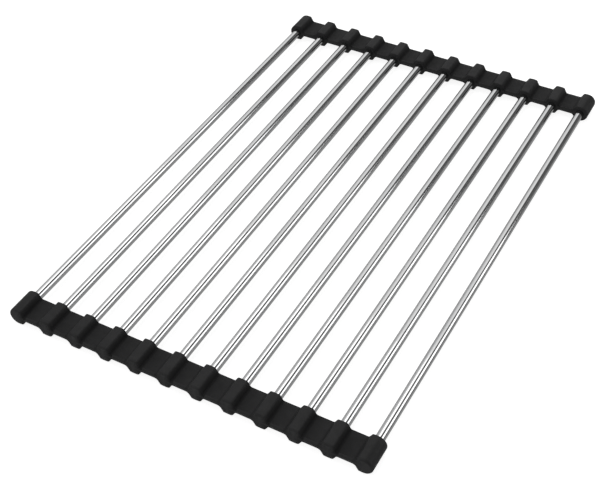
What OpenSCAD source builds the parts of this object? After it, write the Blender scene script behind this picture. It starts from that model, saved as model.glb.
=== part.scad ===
// Roll-up drying rack: a row of round steel tubes held at both ends by flexible strips.
// Origin: centre of the footprint, on the surface that the rack lies on.
// X runs along the strips, Y along the tubes, Z up.

/* [Tubes] */
// How many tubes the rack has
tube_count = 12; // [4:1:12]
// Distance between the centres of neighbouring tubes
pitch = 25; // [22:0.5:32]
// Outside diameter of a tube
tube_d = 7; // [6:0.1:8]
// Thickness of a tube's wall
tube_wall = 0.5; // [0.4:0.1:1]
// Length of tube that shows between the two strips
open_span = 392; // [250:1:500]

/* [Strips] */
// Width of a strip, measured along the tubes
strip_w = 22; // [20:0.5:30]
// Height of a block, from its resting face to its top
block_h = 14; // [12:0.1:16]
// Width of a block's flat top, before its edges are rounded
block_top_w = 7.2; // [6:0.1:8]
// Width of a block where its flanks reach the web
block_foot_w = 12.4; // [11:0.1:14]
// Thickness of the web that bends between two blocks
web_t = 4.5; // [3:0.1:5]
// Radius of a block's outer edges
edge_r = 1.3; // [0.5:0.1:1.5]
// Radius of the fillet between a block's flank and the web
fillet_r = 1.5; // [0.5:0.1:2]

/* [Sockets] */
// Silicone left between a socket's floor and the strip's outer face
socket_floor = 3; // [2:0.5:6]
// Radial clearance between a tube and its socket
socket_fit = 0.02; // [0.01:0.01:0.1]
// Space between a tube's end and the floor of its socket
socket_gap = 0.5; // [0.1:0.1:2]

/* [Hidden] */
$fn = 64;
arc_steps = 5;
end_arc_steps = 16;
overcut = 1;
half_span = open_span / 2;
axis_z = block_h / 2;
web_z = web_t / 2;
// Half the length of a block: its last face, just beyond the fillet, meets the web
block_half = block_foot_w / 2 + fillet_r;
socket_depth = strip_w - socket_floor;
tube_len = open_span + 2 * (socket_depth - socket_gap);

FRONT = -1;
REAR = 1;

function two_digits(i) = str(i < 10 ? "0" : "", i);
function tube_name(i) = str("tube_", two_digits(i));
function block_name(side, i) = str(side == FRONT ? "front" : "rear", "_strip_block_", two_digits(i));
function web_name(side, i) = str(side == FRONT ? "front" : "rear", "_strip_web_", two_digits(i));

// Centre of tube i, counted from 1 at the -X end
function tube_x(i) = (i - (tube_count + 1) / 2) * pitch;

function unit(v) = v / norm(v);
function turned(v, a) = [v.x * cos(a) - v.y * sin(a), v.x * sin(a) + v.y * cos(a)];
function mirror_x(points) = [for (i = [len(points) - 1 : -1 : 0]) [-points[i].x, points[i].y]];
function mirror_z(points) = [for (i = [len(points) - 1 : -1 : 0]) [points[i].x, -points[i].y]];

// Points of the arc of radius r that rounds the corner b on the way from a to c
function rounded(a, b, c, r) =
    let (
        u = unit(a - b),
        v = unit(c - b),
        half = acos(u * v) / 2,
        centre = b + unit(u + v) * r / sin(half),
        first = b + u * r / tan(half) - centre,
        turn = (180 - 2 * half) * sign(cross(v, u))
    )
    [for (i = [0 : arc_steps]) centre + turned(first, turn * i / arc_steps)];

// A quarter of a block's outline about the tube's axis, clockwise from the top to the web's middle
function block_quarter() =
    let (
        top = [block_top_w / 2, axis_z],
        foot = [block_foot_w / 2, web_z],
        last = [block_half, web_z]
    )
    concat(rounded([0, axis_z], top, foot, edge_r), rounded(top, foot, last, fillet_r), [last]);

// The +X half of a block's outline, clockwise
function web_side() = concat(block_quarter(), mirror_z(block_quarter()));

// The -X half of an end block's outline, clockwise: a half circle about the tube's axis
function round_side() =
    [for (i = [0 : end_arc_steps]) turned([0, -axis_z], -180 * i / end_arc_steps)];

// Stands an outline drawn in X and Z up, and extrudes it over the width of a strip
module across_strip(side) {
    translate([0, side * (half_span + strip_w / 2), axis_z])
        rotate([90, 0, 0])
            linear_extrude(strip_w, center = true)
                children();
}

// A bar along X with the strip's width, the block's height and rounded long edges
module edge_limits(side) {
    half_w = strip_w / 2;
    quarter = rounded([0, axis_z], [half_w, axis_z], [half_w, 0], edge_r);
    right = concat(quarter, mirror_z(quarter));
    translate([0, side * (half_span + half_w), axis_z])
        rotate([90, 0, 90])
            linear_extrude(2 * block_h + 2 * block_half, center = true)
                polygon(concat(right, mirror_x(right)));
}

// The blind hole that a tube's end is pushed into
module socket(side) {
    depth = socket_depth + overcut;
    translate([0, side * (half_span - overcut + depth / 2), axis_z])
        rotate([90, 0, 0])
            cylinder(h = depth, d = tube_d + 2 * socket_fit, center = true);
}

module strip_block(side, i) {
    left = i == 1 ? round_side() : mirror_x(web_side());
    right = i == tube_count ? mirror_x(round_side()) : web_side();
    color("#232325")
        translate([tube_x(i), 0, 0])
            difference() {
                intersection() {
                    across_strip(side) polygon(concat(right, left));
                    edge_limits(side);
                }
                socket(side);
            }
}

// The flat, flexible stretch between block i and the next one
module strip_web(side, i) {
    web_len = pitch - 2 * block_half;
    color("#2a2a2c")
        translate([tube_x(i) + pitch / 2, 0, 0])
            across_strip(side) square([web_len, web_t], center = true);
}

module tube(i) {
    color("#c9ccd0")
        translate([tube_x(i), 0, axis_z])
            rotate([90, 0, 0])
                difference() {
                    cylinder(h = tube_len, d = tube_d, center = true);
                    cylinder(h = tube_len + 2 * overcut, d = tube_d - 2 * tube_wall, center = true);
                }
}

for (i = [1 : tube_count]) {
    tube(i);
    strip_block(FRONT, i);
    strip_block(REAR, i);
}

for (i = [1 : tube_count - 1]) {
    strip_web(FRONT, i);
    strip_web(REAR, i);
}
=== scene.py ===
import math

import bmesh
import bpy
from mathutils import Matrix, Quaternion, Vector
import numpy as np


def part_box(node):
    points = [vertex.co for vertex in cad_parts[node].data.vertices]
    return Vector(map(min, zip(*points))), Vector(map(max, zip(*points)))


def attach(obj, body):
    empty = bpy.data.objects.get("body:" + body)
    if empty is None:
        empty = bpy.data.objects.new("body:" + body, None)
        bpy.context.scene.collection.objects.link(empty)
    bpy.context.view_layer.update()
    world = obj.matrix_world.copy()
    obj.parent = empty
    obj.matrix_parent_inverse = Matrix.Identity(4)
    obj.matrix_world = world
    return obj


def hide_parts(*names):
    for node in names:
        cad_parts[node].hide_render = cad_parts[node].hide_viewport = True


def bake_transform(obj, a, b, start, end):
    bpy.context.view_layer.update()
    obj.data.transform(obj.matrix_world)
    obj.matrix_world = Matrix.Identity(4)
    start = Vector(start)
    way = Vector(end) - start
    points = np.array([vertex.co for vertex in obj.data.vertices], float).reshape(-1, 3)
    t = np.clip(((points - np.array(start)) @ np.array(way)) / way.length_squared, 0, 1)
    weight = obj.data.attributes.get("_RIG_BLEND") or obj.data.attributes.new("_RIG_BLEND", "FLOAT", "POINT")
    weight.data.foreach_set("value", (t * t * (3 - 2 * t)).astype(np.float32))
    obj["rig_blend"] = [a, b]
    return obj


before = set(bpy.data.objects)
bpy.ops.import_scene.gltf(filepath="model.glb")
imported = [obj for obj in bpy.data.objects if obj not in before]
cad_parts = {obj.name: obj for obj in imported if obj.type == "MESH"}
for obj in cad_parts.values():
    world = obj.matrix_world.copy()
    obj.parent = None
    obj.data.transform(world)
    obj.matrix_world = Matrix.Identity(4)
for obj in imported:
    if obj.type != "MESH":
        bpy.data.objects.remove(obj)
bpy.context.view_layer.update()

# All sizes are in metres.
MM = 0.001
COUNT = sum(name.startswith("tube_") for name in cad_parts)
SIDES = ("front", "rear")

# Strips: a block's half widths at its top and at the web, and how far its top falls from middle to shoulder
BLOCK_TOP_HALF = 3.6 * MM
BLOCK_FOOT_HALF = 6.2 * MM
TOP_CROWN = 0.25 * MM
# Radii of the long edges, of the fillets to the web, and of the edges round the outer and the inner face
TOP_EDGE_R = 1.4 * MM
UPPER_FILLET_R = 1.3 * MM
LOWER_FILLET_R = 2.4 * MM
OUTER_EDGE_R = 1.6 * MM
INNER_EDGE_R = 0.9 * MM
# Distance from an edge to the extra ring that keeps the face beside it flat in smooth shading
SUPPORT_LOOP = 0.12 * MM
SOCKET_LIP_R = 0.25 * MM
SOCKET_CLEARANCE = 0.02 * MM
SOCKET_DEPTH = 19 * MM

# Tubes
TUBE_WALL = 0.5 * MM
TUBE_CHAMFER = 0.15 * MM

# Mesh density
ARC_STEPS = 8
LIP_STEPS = 4
EDGE_STEPS = 6
WEB_STEPS = 20
TUBE_SEGMENTS = 72
POLAR_STEP = math.radians(4.5)
# Shares of the top's half width at which its crown has points
CROWN_SHARES = (0.0, 0.2, 0.4)
# Points that are closer than this count as one
SAME_POINT = 1e-7
# Edges sharper than this stay sharp in smooth shading
SHARP_ANGLE = math.radians(35)

# Wear and painted shade of the silicone: 1 is a rubbed edge, and -1 is a fillet darkened with full painted
# shade. The fillets on the
# +X side of a block get more painted shade than those on its -X side, and each web's painted shade goes from
# one to the other.
RUBBED = 1.0
HEAVY_PAINTED_FILLET_SHADE = -0.8
LIGHT_PAINTED_FILLET_SHADE = -0.4
HEAVY_PAINTED_WEB_SHADE = -0.5
LIGHT_PAINTED_WEB_SHADE = -0.2

# Camera: its place is given from the middle of the tubes' axes
LENS_MM = 69.5
CAMERA_PLACE = Vector((0.3210, -0.6126, 0.5998))
CAMERA_TARGET = Vector((0.0046, -0.0576, 0.0))
CAMERA_ROLL = math.radians(1.35)

# Silicone: the darkest and the lightest shade of its body, of rubbed edges and of the painted shade in its
# fillets and webs
BODY_SHADES = ((0.0148, 0.0148, 0.0152), (0.0188, 0.0188, 0.0194))
WORN_SHADES = ((0.0175, 0.0175, 0.0180), (0.0215, 0.0215, 0.0220))
PAINTED_SHADE_TONES = ((0.0070, 0.0070, 0.0072), (0.0092, 0.0092, 0.0095))
GRAIN_HEIGHT = 0.02 * MM

# Stainless steel
STEEL_SHADES = ((0.53, 0.535, 0.54), (0.61, 0.61, 0.61))
DRAWING_LINE_HEIGHT = 0.004 * MM

# Studio: how bright the surroundings are at an angle about the Y axis, measured from straight up towards +X
SKY_BANDS = (
    (-180, 0.45),
    (-95, 0.50),
    (-65, 0.60),
    (-50, 0.95),
    (-10, 1.20),
    (5, 1.05),
    (11, 0.10),
    (95, 0.17),
    (106, 0.40),
    (180, 0.40),
)
# Brightness of the surroundings where the camera sees them directly
PLAIN_SKY = 0.9
FLOOR_HALF = 6.0
FLOOR_COLOUR = (0.34, 0.34, 0.34, 1)
FLOOR_GLOW = 0.88
# Each softbox's place, the lengths of its two sides and its power in watts
SOFTBOXES = {
    "right_panel": ((2.29, 1.38, 1.40), (1.88, 1.6), 20),
    "left_panel": ((-0.65, 1.15, 2.60), (1.4, 1.1), 7.5),
}


# ---------------------------------------------------------------- outlines

def cross(a, b):
    return a.x * b.y - a.y * b.x


def round_corner(before, corner, after, radius, fillet_painted_shade):
    """Points of the arc that rounds a corner, each with its direction into the material and its wear or
    painted shade.
    The outline runs clockwise: a corner that turns right stands out, and one that turns left is a fillet."""
    back = (before - corner).normalized()
    ahead = (after - corner).normalized()
    half = math.acos(max(-1.0, min(1.0, back.dot(ahead)))) / 2
    centre = corner + (back + ahead).normalized() * (radius / math.sin(half))
    first = corner + back * (radius / math.tan(half)) - centre
    side = math.copysign(1, cross(ahead, back))
    turn = (math.pi - 2 * half) * side
    points = []
    for k in range(ARC_STEPS + 1):
        share = k / ARC_STEPS
        a = turn * share
        arm = Vector((first.x * math.cos(a) - first.y * math.sin(a),
                      first.x * math.sin(a) + first.y * math.cos(a)))
        # Corners that stand out get rubbed wear, and fillets get their painted shade
        wear_and_shade = RUBBED * math.sin(math.pi * share) if side < 0 else fillet_painted_shade
        points.append((centre + arm, arm.normalized() * side, wear_and_shade))
    return points


def mirrored_x(outline):
    return [(Vector((-p.x, p.y)), Vector((-n.x, n.y)), wear_and_shade) for p, n, wear_and_shade in reversed(outline)]


def mirrored_z(outline):
    return [(Vector((p.x, -p.y)), Vector((n.x, -n.y)), wear_and_shade) for p, n, wear_and_shade in reversed(outline)]


def webbed_quarter(half_height, web_half, block_half, fillet_r, fillet_painted_shade, cut_painted_shade):
    """A quarter of a block's outline, clockwise from the top: crown, flank, fillet, start of the web."""
    down = Vector((0, -1))
    quarter = []
    for share in CROWN_SHARES:
        x = share * BLOCK_TOP_HALF
        quarter.append((Vector((x, half_height - TOP_CROWN * share ** 2)), down, 0.0))
    last_top = quarter[-1][0]
    shoulder = Vector((BLOCK_TOP_HALF, half_height - TOP_CROWN))
    foot = Vector((BLOCK_FOOT_HALF, web_half))
    cut = Vector((block_half, web_half))
    quarter += round_corner(last_top, shoulder, foot, TOP_EDGE_R, fillet_painted_shade)
    quarter += round_corner(shoulder, foot, cut, fillet_r, fillet_painted_shade)
    quarter.append((cut, down, cut_painted_shade))
    return quarter


def webbed_side(half_height, web_half, block_half, fillet_painted_shade, cut_painted_shade):
    """The +X half of a block's outline, clockwise: the upper quarter, the web's cut and the lower quarter."""
    sizes = (half_height, web_half, block_half)
    upper = webbed_quarter(*sizes, UPPER_FILLET_R, fillet_painted_shade, cut_painted_shade)
    lower = webbed_quarter(*sizes, LOWER_FILLET_R, fillet_painted_shade, cut_painted_shade)
    middle = [(Vector((block_half, 0)), Vector((0, 0)), cut_painted_shade)]
    return upper + middle + mirrored_z(lower)


def round_side(radius):
    """The -X half of an end block's outline, clockwise from the bottom: a half circle."""
    steps = math.ceil(math.pi / POLAR_STEP)
    points = []
    for k in range(steps + 1):
        a = -math.pi / 2 - math.pi * k / steps
        out = Vector((math.cos(a), math.sin(a)))
        points.append((out * radius, -out, 0.0))
    return points


def polar(p):
    return math.atan2(p.y, p.x)


def filled_in(outline):
    """The closed outline with more points: neighbours are never further apart than POLAR_STEP."""
    points = []
    for (p, n, wear_and_shade), (q, m, next_wear_and_shade) in zip(outline, outline[1:] + outline[:1]):
        if (p - q).length < SAME_POINT:
            continue
        points.append((p, n, wear_and_shade))
        gap = abs((polar(q) - polar(p) + math.pi) % (2 * math.pi) - math.pi)
        parts = math.ceil(gap / POLAR_STEP)
        for k in range(1, parts):
            t = k / parts
            points.append((p.lerp(q, t), n.lerp(m, t), wear_and_shade + (next_wear_and_shade - wear_and_shade) * t))
    return points


def edge_rounding(radius):
    """(distance from the end face, inset, wear) of each ring of a rounded edge, from the side to the face."""
    rings = []
    for k in range(EDGE_STEPS + 1):
        a = math.pi / 2 * k / EDGE_STEPS
        rings.append((radius * (1 - math.sin(a)), radius * (1 - math.cos(a)), math.sin(2 * a)))
    return rings


def strip_rings(outer_y, inner_y):
    """(y, inset, wear) of the rings over a strip's width, from its outer face to its inner face."""
    inward = math.copysign(1, inner_y - outer_y)
    outer = [(outer_y + inward * d, inset, wear_and_shade) for d, inset, wear_and_shade in reversed(edge_rounding(OUTER_EDGE_R))]
    inner = [(inner_y - inward * d, inset, wear_and_shade) for d, inset, wear_and_shade in edge_rounding(INNER_EDGE_R)]
    return outer + inner


# ---------------------------------------------------------------- meshes

def ring_of(bm, points, wear_and_shade=None):
    """Vertices at the points, with the wear and painted shade of each if it is given."""
    ring = [bm.verts.new(p) for p in points]
    if wear_and_shade:
        layer = bm.verts.layers.float["wear_and_shade"]
        for vert, value in zip(ring, wear_and_shade):
            vert[layer] = value
    return ring


def join_rings(bm, a, b):
    for k in range(len(a)):
        n = (k + 1) % len(a)
        bm.faces.new((a[k], a[n], b[n], b[k]))


def close_ring(bm, ring, centre):
    middle = bm.verts.new(centre)
    for k in range(len(ring)):
        bm.faces.new((ring[k], ring[(k + 1) % len(ring)], middle))


def finished(bm, name, material):
    """Turns a bmesh into a smooth-shaded object whose creases stay sharp."""
    bmesh.ops.recalc_face_normals(bm, faces=bm.faces)
    for edge in bm.edges:
        edge.smooth = edge.calc_face_angle(0) < SHARP_ANGLE
    for face in bm.faces:
        face.smooth = True
    mesh = bpy.data.meshes.new(name)
    bm.to_mesh(mesh)
    bm.free()
    mesh.materials.append(material)
    made = bpy.data.objects.new(name, mesh)
    bpy.context.scene.collection.objects.link(made)
    return made


def block_mesh(name, outline, axis, outer_y, inner_y, tube_radius, material):
    """A block of a strip: the outline swept over the strip's width with rounded ends, and a blind socket."""
    bm = bmesh.new()
    bm.verts.layers.float.new("wear_and_shade")

    def section(y, inset, rim):
        points = [(axis.x + p.x + n.x * inset, y, axis.z + p.y + n.y * inset) for p, n, _ in outline]
        # Vertices with painted shade keep it; the others take the rubbed wear of the outline or of the ring's
        # edge rounding
        return ring_of(bm, points, [wear_and_shade if wear_and_shade < 0 else max(wear_and_shade, rim) for _, _, wear_and_shade in outline])

    def circle(y, radius):
        return ring_of(bm, [(axis.x + radius * math.cos(polar(p)), y, axis.z + radius * math.sin(polar(p)))
                            for p, _, _ in outline])

    inward = math.copysign(1, inner_y - outer_y)
    hole = tube_radius + SOCKET_CLEARANCE
    rings = [section(outer_y, OUTER_EDGE_R + SUPPORT_LOOP, 0.0)]
    rings += [section(y, inset, rim) for y, inset, rim in strip_rings(outer_y, inner_y)]
    rings.append(section(inner_y, INNER_EDGE_R + SUPPORT_LOOP, 0.0))
    rings.append(circle(inner_y, hole + SOCKET_LIP_R + SUPPORT_LOOP))
    for k in range(LIP_STEPS + 1):
        a = math.pi / 2 * k / LIP_STEPS
        depth = SOCKET_LIP_R * (1 - math.cos(a))
        rings.append(circle(inner_y - inward * depth, hole + SOCKET_LIP_R * (1 - math.sin(a))))
    floor_y = inner_y - inward * SOCKET_DEPTH
    rings.append(circle(floor_y, hole))
    for a, b in zip(rings, rings[1:]):
        join_rings(bm, a, b)
    close_ring(bm, rings[0], (axis.x, outer_y, axis.z))
    close_ring(bm, rings[-1], (axis.x, floor_y, axis.z))
    return finished(bm, name, material)


def web_mesh(name, low, high, outer_y, inner_y, material):
    """The flexible stretch between two blocks, fine enough along X to bend."""
    bm = bmesh.new()
    bm.verts.layers.float.new("wear_and_shade")
    middle_z = (low.z + high.z) / 2
    half = (high.z - low.z) / 2
    rings = strip_rings(outer_y, inner_y)
    top = [(y, middle_z + half - inset, rim) for y, inset, rim in rings]
    bottom = [(y, middle_z - half + inset, rim) for y, inset, rim in reversed(rings)]
    loops = []
    for k in range(WEB_STEPS + 1):
        share = k / WEB_STEPS
        x = low.x + (high.x - low.x) * share
        # Painted shade along the web: darker at its -X end, beside the +X side of a block, than at its +X end
        web_painted_shade = HEAVY_PAINTED_WEB_SHADE + (LIGHT_PAINTED_WEB_SHADE - HEAVY_PAINTED_WEB_SHADE) * share
        points = [(x, y, z) for y, z, _ in top + bottom]
        loops.append(ring_of(bm, points, [rim or web_painted_shade for _, _, rim in top + bottom]))
    for a, b in zip(loops, loops[1:]):
        join_rings(bm, a, b)
    middle_y = (outer_y + inner_y) / 2
    close_ring(bm, loops[0], (low.x, middle_y, middle_z))
    close_ring(bm, loops[-1], (high.x, middle_y, middle_z))
    return finished(bm, name, material)


def tube_mesh(name, low, high, material):
    """A hollow tube with chamfered rims."""
    bm = bmesh.new()
    radius = (high.x - low.x) / 2
    bore = radius - TUBE_WALL
    x, z = (low.x + high.x) / 2, (low.z + high.z) / 2
    profile = [
        (low.y + TUBE_CHAMFER, radius),
        ((low.y + high.y) / 2, radius),
        (high.y - TUBE_CHAMFER, radius),
        (high.y, radius - TUBE_CHAMFER),
        (high.y, bore + TUBE_CHAMFER),
        (high.y - TUBE_CHAMFER, bore),
        (low.y + TUBE_CHAMFER, bore),
        (low.y, bore + TUBE_CHAMFER),
        (low.y, radius - TUBE_CHAMFER),
    ]
    angles = [2 * math.pi * k / TUBE_SEGMENTS for k in range(TUBE_SEGMENTS)]
    rings = []
    for y, r in profile:
        rings.append(ring_of(bm, [(x + r * math.cos(a), y, z + r * math.sin(a)) for a in angles]))
    for a, b in zip(rings, rings[1:] + rings[:1]):
        join_rings(bm, a, b)
    return finished(bm, name, material)


# ---------------------------------------------------------------- materials

class Nodes:
    """A short way to write the nodes of a material or a world."""

    def __init__(self, owner):
        owner.use_nodes = True
        self.owner = owner
        self.tree = owner.node_tree
        self.shader = self.tree.nodes.get("Principled BSDF")

    def add(self, kind, **settings):
        node = self.tree.nodes.new(kind)
        for key, value in settings.items():
            setattr(node, key, value)
        return node

    def link(self, source, target):
        self.tree.links.new(source, target)

    def noise(self, scale, detail, stretch=(1, 1, 1)):
        """Noise with about scale features to a metre, stretched along the axes where stretch is below 1."""
        mapping = self.add("ShaderNodeMapping")
        mapping.inputs["Scale"].default_value = stretch
        self.link(self.add("ShaderNodeTexCoord").outputs["Object"], mapping.inputs["Vector"])
        node = self.add("ShaderNodeTexNoise")
        node.inputs["Scale"].default_value = scale
        node.inputs["Detail"].default_value = detail
        self.link(mapping.outputs["Vector"], node.inputs["Vector"])
        return node.outputs["Fac"]

    def span(self, value, low, high, start=0.3, end=0.7):
        """value from start to end, taken to low to high."""
        node = self.add("ShaderNodeMapRange")
        node.inputs["From Min"].default_value = start
        node.inputs["From Max"].default_value = end
        node.inputs["To Min"].default_value = low
        node.inputs["To Max"].default_value = high
        self.link(value, node.inputs["Value"])
        return node.outputs["Result"]

    def shades(self, value, dark, light, start=0.3, end=0.7):
        """value from start to end, taken to colours from dark to light."""
        node = self.add("ShaderNodeValToRGB")
        first, last = node.color_ramp.elements
        first.position, first.color = start, (*dark, 1)
        last.position, last.color = end, (*light, 1)
        self.link(value, node.inputs["Fac"])
        return node.outputs["Color"]

    def sum(self, a, b):
        node = self.add("ShaderNodeMath", operation="ADD")
        self.link(a, node.inputs[0])
        self.link(b, node.inputs[1])
        return node.outputs["Value"]

    def mix(self, share, a, b):
        node = self.add("ShaderNodeMix", data_type="RGBA")
        self.link(share, node.inputs["Factor"])
        self.link(a, node.inputs["A"])
        self.link(b, node.inputs["B"])
        return node.outputs["Result"]

    def bump(self, height, distance, strength):
        node = self.add("ShaderNodeBump")
        node.inputs["Distance"].default_value = distance
        node.inputs["Strength"].default_value = strength
        self.link(height, node.inputs["Height"])
        self.link(node.outputs["Normal"], self.shader.inputs["Normal"])


def silicone():
    """Matte black moulded silicone: fine grain, uneven tone, lighter rubbed edges, and painted shade in the
    fillets and webs.
    """
    n = Nodes(bpy.data.materials.new("black_silicone"))
    mottle = n.noise(scale=70, detail=4)
    body = n.shades(mottle, *BODY_SHADES)
    worn = n.shades(mottle, *WORN_SHADES)
    # Painted shade: a darker colour for the fillets and the webs beside the blocks, where shade falls
    painted_shade_colour = n.shades(mottle, *PAINTED_SHADE_TONES)
    wear_and_shade = n.add("ShaderNodeAttribute", attribute_name="wear_and_shade").outputs["Fac"]
    edge = n.span(wear_and_shade, low=0.0, high=0.5, start=0.2, end=1.0)
    # Share of painted shade, taken from the negative values of the vertex attribute
    painted_shade_mask = n.span(wear_and_shade, low=0.0, high=1.0, start=0.0, end=-1.0)
    n.link(n.mix(painted_shade_mask, n.mix(edge, body, worn), painted_shade_colour), n.shader.inputs["Base Color"])
    grease = n.span(n.noise(scale=240, detail=5), low=0.50, high=0.60)
    rough = n.sum(grease, n.span(painted_shade_mask, low=0.0, high=0.4, start=0.0, end=1.0))
    n.link(rough, n.shader.inputs["Roughness"])
    n.shader.inputs["IOR"].default_value = 1.42
    n.shader.inputs["Specular IOR Level"].default_value = 0.22
    grain = n.sum(n.noise(scale=4200, detail=3), n.noise(scale=900, detail=2))
    n.bump(grain, distance=GRAIN_HEIGHT, strength=0.5)
    return n.owner


def stainless():
    """Polished stainless tube: fine drawing lines along its length, and faint handling marks."""
    n = Nodes(bpy.data.materials.new("polished_stainless"))
    lines = n.noise(scale=2600, detail=3, stretch=(1, 0.004, 1))
    bands = n.noise(scale=300, detail=3, stretch=(1, 0.02, 1))
    smudges = n.noise(scale=45, detail=4)
    n.link(n.shades(bands, *STEEL_SHADES), n.shader.inputs["Base Color"])
    n.shader.inputs["Metallic"].default_value = 1.0
    rough = n.sum(n.span(lines, low=0.04, high=0.09), n.span(smudges, low=0.0, high=0.03))
    n.link(rough, n.shader.inputs["Roughness"])
    n.bump(n.sum(lines, bands), distance=DRAWING_LINE_HEIGHT, strength=0.1)
    return n.owner


def pale_floor():
    """A plain floor that glows, which hides most of the rack's shadow."""
    n = Nodes(bpy.data.materials.new("pale_floor"))
    n.shader.inputs["Base Color"].default_value = FLOOR_COLOUR
    n.shader.inputs["Roughness"].default_value = 0.8
    n.shader.inputs["Emission Color"].default_value = (1, 1, 1, 1)
    n.shader.inputs["Emission Strength"].default_value = FLOOR_GLOW
    return n.owner


# ---------------------------------------------------------------- pieces

def block_outline(i, half_height, web_half, block_half):
    # Painted shade: the block's +X fillets get more than its -X fillets
    heavier_shade_side = webbed_side(half_height, web_half, block_half, HEAVY_PAINTED_FILLET_SHADE, HEAVY_PAINTED_WEB_SHADE)
    lighter_shade_side = webbed_side(half_height, web_half, block_half, LIGHT_PAINTED_FILLET_SHADE, LIGHT_PAINTED_WEB_SHADE)
    right = mirrored_x(round_side(half_height)) if i == COUNT else heavier_shade_side
    left = round_side(half_height) if i == 1 else mirrored_x(lighter_shade_side)
    return filled_in(right + left)


def outer_and_inner(side, low, high):
    """The Y of a strip's outer face, at the rack's end, and of its inner face."""
    return (low.y, high.y) if side == "front" else (high.y, low.y)


def make_tube(i, material):
    node = f"tube_{i:02d}"
    low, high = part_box(node)
    piece = tube_mesh(f"steel_{node}", low, high, material)
    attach(piece, f"segment_{i:02d}")
    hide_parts(node)


def make_block(side, i, web_half, block_half, material):
    node = f"{side}_strip_block_{i:02d}"
    low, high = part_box(node)
    tube_low, tube_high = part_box(f"tube_{i:02d}")
    axis = (tube_low + tube_high) / 2
    outer_y, inner_y = outer_and_inner(side, low, high)
    outline = block_outline(i, (high.z - low.z) / 2, web_half, block_half)
    tube_radius = (tube_high.x - tube_low.x) / 2
    piece = block_mesh(f"soft_{node}", outline, axis, outer_y, inner_y, tube_radius, material)
    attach(piece, f"segment_{i:02d}")
    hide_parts(node)


def make_web(side, i, material):
    node = f"{side}_strip_web_{i:02d}"
    low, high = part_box(node)
    outer_y, inner_y = outer_and_inner(side, low, high)
    piece = web_mesh(f"soft_{node}", low, high, outer_y, inner_y, material)
    middle = (low + high) / 2
    start = Vector((low.x, middle.y, middle.z))
    end = Vector((high.x, middle.y, middle.z))
    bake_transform(piece, f"segment_{i:02d}", f"segment_{i + 1:02d}", start=start, end=end)
    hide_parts(node)


def make_rack():
    steel, rubber = stainless(), silicone()
    web_low, web_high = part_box("front_strip_web_01")
    web_half = (web_high.z - web_low.z) / 2
    tube_low, tube_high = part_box("tube_01")
    block_half = web_low.x - (tube_low.x + tube_high.x) / 2
    for i in range(1, COUNT + 1):
        make_tube(i, steel)
        for side in SIDES:
            make_block(side, i, web_half, block_half, rubber)
    for i in range(1, COUNT):
        for side in SIDES:
            make_web(side, i, rubber)


# ---------------------------------------------------------------- studio

def make_floor():
    bm = bmesh.new()
    bmesh.ops.create_grid(bm, x_segments=1, y_segments=1, size=FLOOR_HALF)
    mesh = bpy.data.meshes.new("floor")
    bm.to_mesh(mesh)
    bm.free()
    mesh.materials.append(pale_floor())
    floor = bpy.data.objects.new("floor", mesh)
    bpy.context.scene.collection.objects.link(floor)
    floor.visible_glossy = False


def set_up(thing, place, rotation):
    """Adds a lamp or a camera to the scene at its place."""
    bpy.context.scene.collection.objects.link(thing)
    thing.location = place
    thing.rotation_mode = "QUATERNION"
    thing.rotation_quaternion = rotation


def make_softbox(name, place, size, watts):
    """A rectangular light that faces the rack, with its first side as near as can be along Y."""
    light = bpy.data.lights.new(name, "AREA")
    light.shape = "RECTANGLE"
    light.size, light.size_y = size
    light.energy = watts
    back = Vector(place).normalized()
    along = (Vector((0, 1, 0)) - back * back.y).normalized()
    axes = Matrix((along, back.cross(along), back)).transposed()
    set_up(bpy.data.objects.new(name, light), place, axes.to_quaternion())


def make_world():
    """Surroundings that light the rack by the angle about the Y axis, and that look plain to the camera."""
    world = bpy.data.worlds.new("studio")
    n = Nodes(world)
    axes = n.add("ShaderNodeSeparateXYZ")
    n.link(n.add("ShaderNodeTexCoord").outputs["Generated"], axes.inputs["Vector"])
    angle = n.add("ShaderNodeMath", operation="ARCTAN2")
    n.link(axes.outputs["X"], angle.inputs[0])
    n.link(axes.outputs["Z"], angle.inputs[1])
    bands = n.add("ShaderNodeFloatCurve")
    curve = bands.mapping.curves[0]
    while len(curve.points) < len(SKY_BANDS):
        curve.points.new(0.5, 0.5)
    tallest = max(brightness for _, brightness in SKY_BANDS)
    for point, (degrees, brightness) in zip(curve.points, SKY_BANDS):
        point.location = (degrees / 360 + 0.5, brightness / tallest)
        point.handle_type = "VECTOR"
    bands.mapping.update()
    turn = n.span(angle.outputs["Value"], low=0.0, high=1.0, start=-math.pi, end=math.pi)
    n.link(turn, bands.inputs["Value"])
    banded = n.tree.nodes["Background"]
    banded.inputs["Strength"].default_value = tallest
    n.link(bands.outputs["Value"], banded.inputs["Color"])
    plain = n.add("ShaderNodeBackground")
    plain.inputs["Color"].default_value = (PLAIN_SKY, PLAIN_SKY, PLAIN_SKY, 1)
    pick = n.add("ShaderNodeMixShader")
    n.link(n.add("ShaderNodeLightPath").outputs["Is Camera Ray"], pick.inputs["Fac"])
    n.link(banded.outputs["Background"], pick.inputs[1])
    n.link(plain.outputs["Background"], pick.inputs[2])
    n.link(pick.outputs["Shader"], n.tree.nodes["World Output"].inputs["Surface"])
    bpy.context.scene.world = world


def make_camera():
    camera = bpy.data.objects.new("camera", bpy.data.cameras.new("camera"))
    camera.data.lens = LENS_MM
    tube_low, tube_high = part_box("tube_01")
    axis_height = Vector((0, 0, (tube_low.z + tube_high.z) / 2))
    look = (CAMERA_TARGET - CAMERA_PLACE).normalized()
    rotation = Quaternion(look, CAMERA_ROLL) @ look.to_track_quat("-Z", "Y")
    set_up(camera, CAMERA_PLACE + axis_height, rotation)
    bpy.context.scene.camera = camera


make_rack()
make_floor()
make_world()
for name, (place, size, watts) in SOFTBOXES.items():
    make_softbox(name, place, size, watts)
make_camera()
bpy.context.scene.view_settings.view_transform = "Standard"
